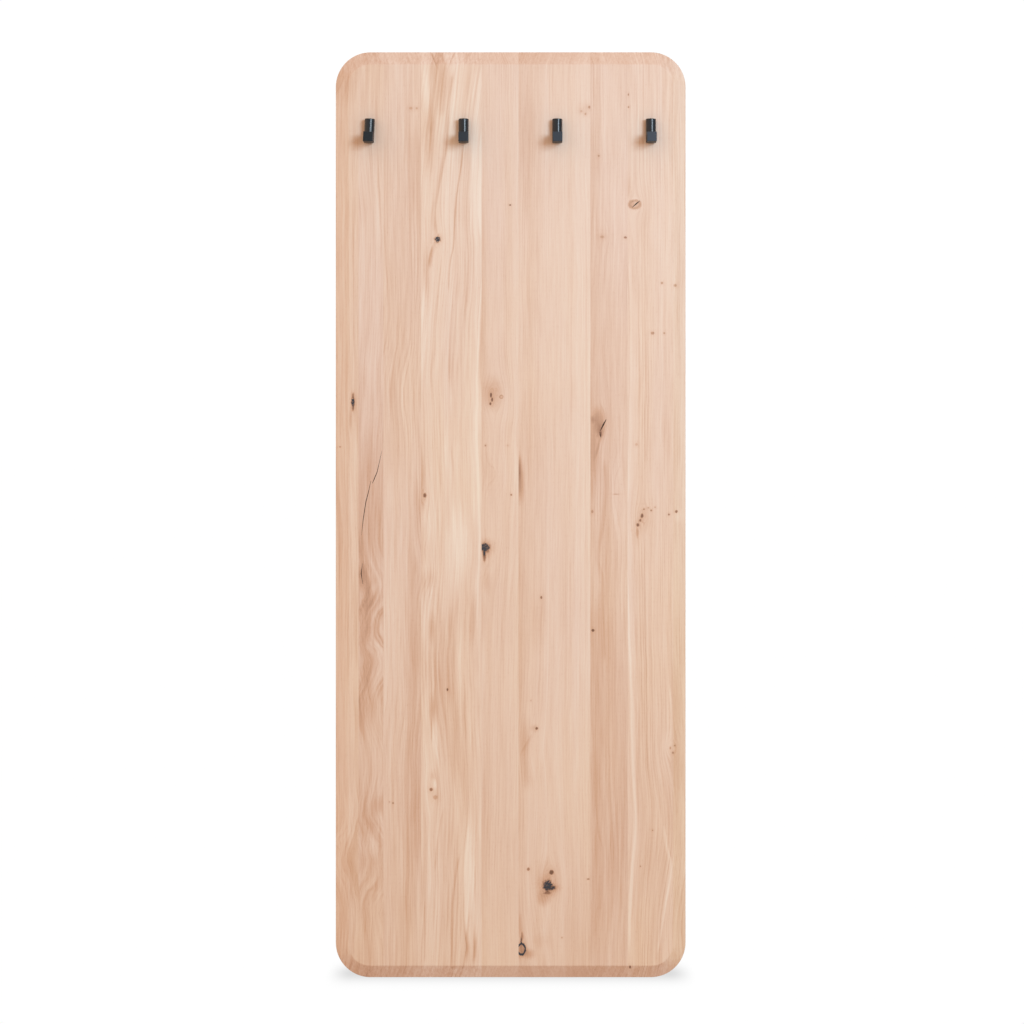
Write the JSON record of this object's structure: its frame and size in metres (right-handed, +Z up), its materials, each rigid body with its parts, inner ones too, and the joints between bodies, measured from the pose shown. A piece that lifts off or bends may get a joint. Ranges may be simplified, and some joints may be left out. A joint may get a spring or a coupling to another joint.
{
  "type": "wall hook rack",
  "caption": "Tall solid oak wall panel with rounded corners and a chamfered front edge, with a row of black round-and-square coat hooks near its top.",
  "frame": {"origin": "centre of the panel's back face, which lies on the wall", "axes": "+Z up, +Y into the wall, -Y out to the front, +X to the right for someone who faces the rack"},
  "size_m": [0.605, 0.068, 1.6],
  "materials": {
    "oak": "matt oiled solid oak, pale and pinkish",
    "black": "satin black coating on steel",
    "steel": "zinc-plated steel",
    "brass": "plain brass"
  },
  "bodies": {
    "root": {"stave_1": "oak", "stave_2": "oak", "stave_3": "oak", "stave_4": "oak", "stave_5": "oak", "stave_6": "oak", "stave_7": "oak", "stave_8": "oak", "hook_1_post": "black", "hook_1_peg": "black", "hook_1_stud": "steel", "hook_1_insert": "brass", "hook_2_post": "black", "hook_2_peg": "black", "hook_2_stud": "steel", "hook_2_insert": "brass", "hook_3_post": "black", "hook_3_peg": "black", "hook_3_stud": "steel", "hook_3_insert": "brass", "hook_4_post": "black", "hook_4_peg": "black", "hook_4_stud": "steel", "hook_4_insert": "brass", "stiffener_upper": "steel", "stiffener_upper_screw_left": "steel", "stiffener_upper_screw_middle": "steel", "stiffener_upper_screw_right": "steel", "stiffener_lower": "steel", "stiffener_lower_screw_left": "steel", "stiffener_lower_screw_middle": "steel", "stiffener_lower_screw_right": "steel", "hanger_left": "steel", "hanger_left_screw_top": "steel", "hanger_left_screw_bottom": "steel", "hanger_right": "steel", "hanger_right_screw_top": "steel", "hanger_right_screw_bottom": "steel"}
  },
  "joints": []
}
